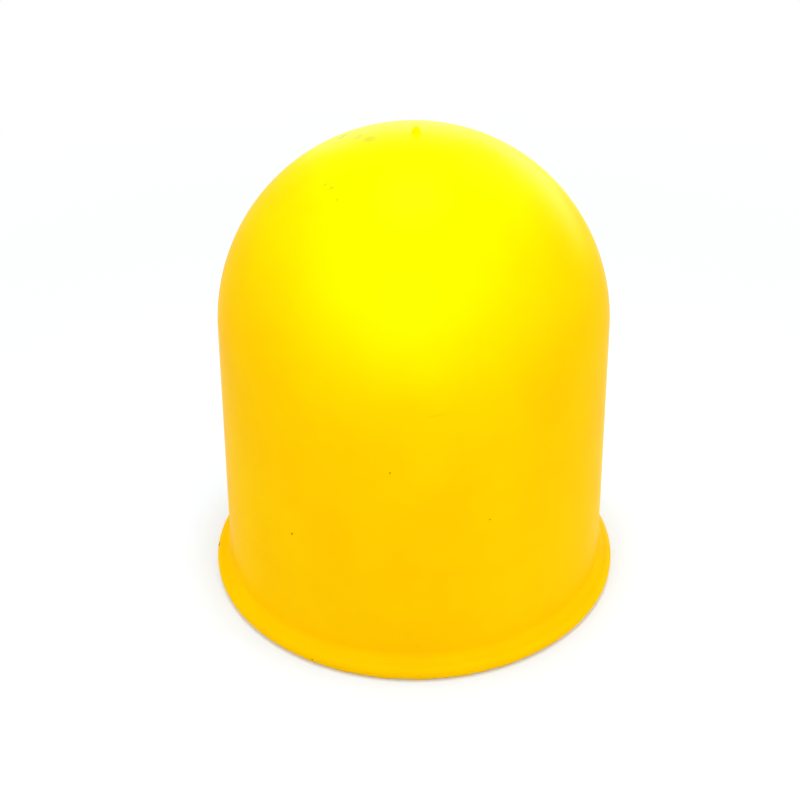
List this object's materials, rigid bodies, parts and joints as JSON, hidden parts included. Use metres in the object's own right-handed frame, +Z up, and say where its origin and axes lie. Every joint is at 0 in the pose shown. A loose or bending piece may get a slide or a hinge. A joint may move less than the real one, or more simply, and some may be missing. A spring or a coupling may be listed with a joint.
{
  "type": "tow ball cover",
  "caption": "Domed soft-plastic cap with a drafted skirt and a rolled rim, pulled down over a towing ball to keep grease in and dirt off.",
  "frame": {"origin": "on the cap's axis, in the plane that the rim stands on", "axes": "+Z up the cap's axis to the crown; +X to the right as the picture sees it, towards the side where the moulding gate's pip stands off the axis"},
  "size_m": [0.0612, 0.0612, 0.0689],
  "materials": {
    "vinyl": "satin"
  },
  "bodies": {
    "root": {"ball_cover": "vinyl"}
  },
  "joints": []
}
